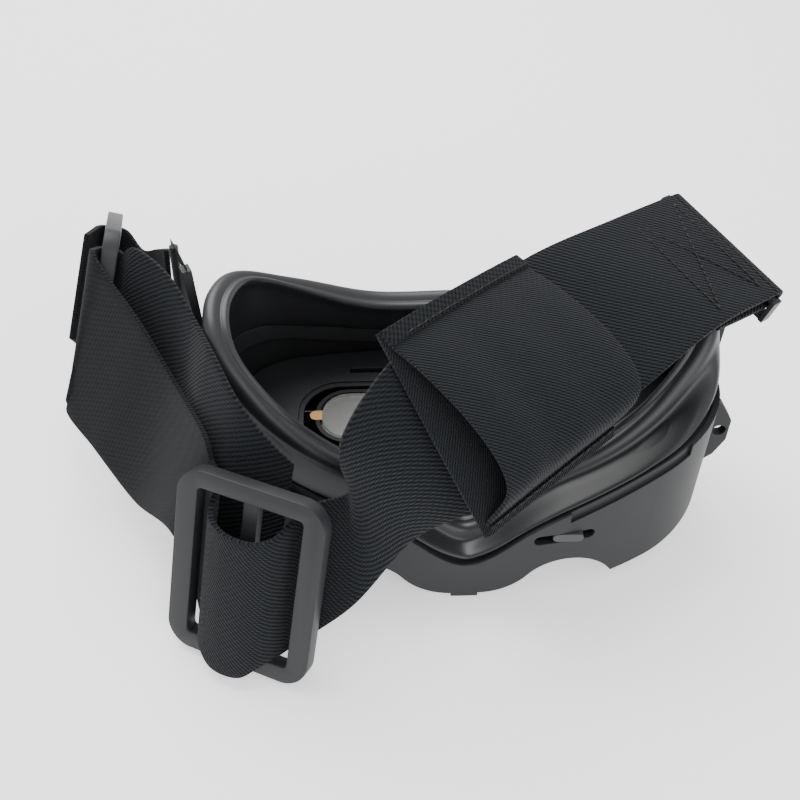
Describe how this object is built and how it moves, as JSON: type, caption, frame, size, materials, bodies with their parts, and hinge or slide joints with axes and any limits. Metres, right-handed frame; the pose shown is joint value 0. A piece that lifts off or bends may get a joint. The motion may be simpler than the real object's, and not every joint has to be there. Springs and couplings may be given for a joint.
{
  "type": "fpv goggles",
  "caption": "Video goggles for flying model aircraft, lying on their front: rubber face seal, sliding eyepieces and an elastic head strap with a battery pocket and slide buckles.",
  "frame": {"origin": "middle of the flat resting face of the front cover, under the bridge of the nose", "axes": "+Z from the front cover towards the face, +X across the face to the end of the strap with the sewn fold, +Y towards the forehead; the goggles lie on their front cover"},
  "size_m": [0.2504, 0.161, 0.1057],
  "materials": {
    "housing_plastic": "fine moulded grain, dark grey",
    "visor_plastic": "fine moulded grain, darker grey",
    "inner_plastic": "satin black",
    "barrel_plastic": "matt black",
    "button_plastic": "satin grey",
    "buckle_plastic": "matt grey with soft edges",
    "clip_plastic": "satin dark grey",
    "jack_plastic": "black",
    "seal_rubber": "smooth soft black rubber",
    "strap_webbing": "ribbed elastic webbing, charcoal",
    "pocket_webbing": "finer ribbed webbing, charcoal",
    "lens_glass": "clear, slightly grey",
    "display_glass": "black display glass",
    "film": "thin film with an amber tab",
    "board": "green circuit board",
    "brass": "gold plated",
    "pin_metal": "bright steel",
    "rod_metal": "ground steel",
    "screw_metal": "black oxide"
  },
  "bodies": {
    "headset": {"adjuster_buckle": "buckle_plastic", "antenna_sockets": "brass", "battery_pocket": "pocket_webbing", "clip_pins": "pin_metal", "face_plate": "inner_plastic", "face_seal": "seal_rubber", "fan_frame": "inner_plastic", "front_cover": "visor_plastic", "guide_rods": "rod_metal", "housing_screws": "screw_metal", "left_clip": "clip_plastic", "long_strap": "strap_webbing", "main_board": "board", "power_jack": "jack_plastic", "rear_buckle": "buckle_plastic", "rear_shell": "housing_plastic", "right_clip": "clip_plastic", "rocker_bracket": "inner_plastic", "rod_carrier": "inner_plastic", "seal_frame": "inner_plastic", "short_strap": "strap_webbing", "strap_back_band": "strap_webbing", "strap_crossing": "strap_webbing", "strap_front_band": "strap_webbing", "strap_sewn_end": "strap_webbing"},
    "left_eyepiece": {"left_barrel": "barrel_plastic", "left_lens": "lens_glass", "left_display": "display_glass", "left_ipd_knob": "button_plastic", "lens_film": "film"},
    "right_eyepiece": {"right_barrel": "barrel_plastic", "right_lens": "lens_glass", "right_display": "display_glass", "right_ipd_knob": "button_plastic"},
    "fan": {"fan_rotor": "inner_plastic"},
    "power_key": {"power_button": "button_plastic"},
    "record_key": {"record_button": "button_plastic"},
    "channel_key": {"channel_rocker": "button_plastic"}
  },
  "joints": [
    {"name": "left_ipd", "type": "slide", "parent": "headset", "child": "left_eyepiece", "axis": [1, 0, 0], "range_m": [-0.0035, 0.0035]},
    {"name": "right_ipd", "type": "slide", "parent": "headset", "child": "right_eyepiece", "axis": [1, 0, 0], "range_m": [-0.0035, 0.0035]},
    {"name": "fan_spin", "type": "hinge", "parent": "headset", "child": "fan", "pos_m": [0.0705, 0.012, 0.0192], "axis": [0, 0, 1], "continuous": true},
    {"name": "power_press", "type": "slide", "parent": "headset", "child": "power_key", "axis": [0, -1, 0], "range_m": [0, 0.0012], "stiffness_N_per_m": 300},
    {"name": "record_press", "type": "slide", "parent": "headset", "child": "record_key", "axis": [0, -1, 0], "range_m": [0, 0.0012], "stiffness_N_per_m": 300},
    {"name": "channel_tilt", "type": "hinge", "parent": "headset", "child": "channel_key", "pos_m": [0.006, 0.04405, 0.024], "axis": [0, 0, 1], "range_deg": [-4, 4], "stiffness_Nm_per_rad": 0.02}
  ]
}
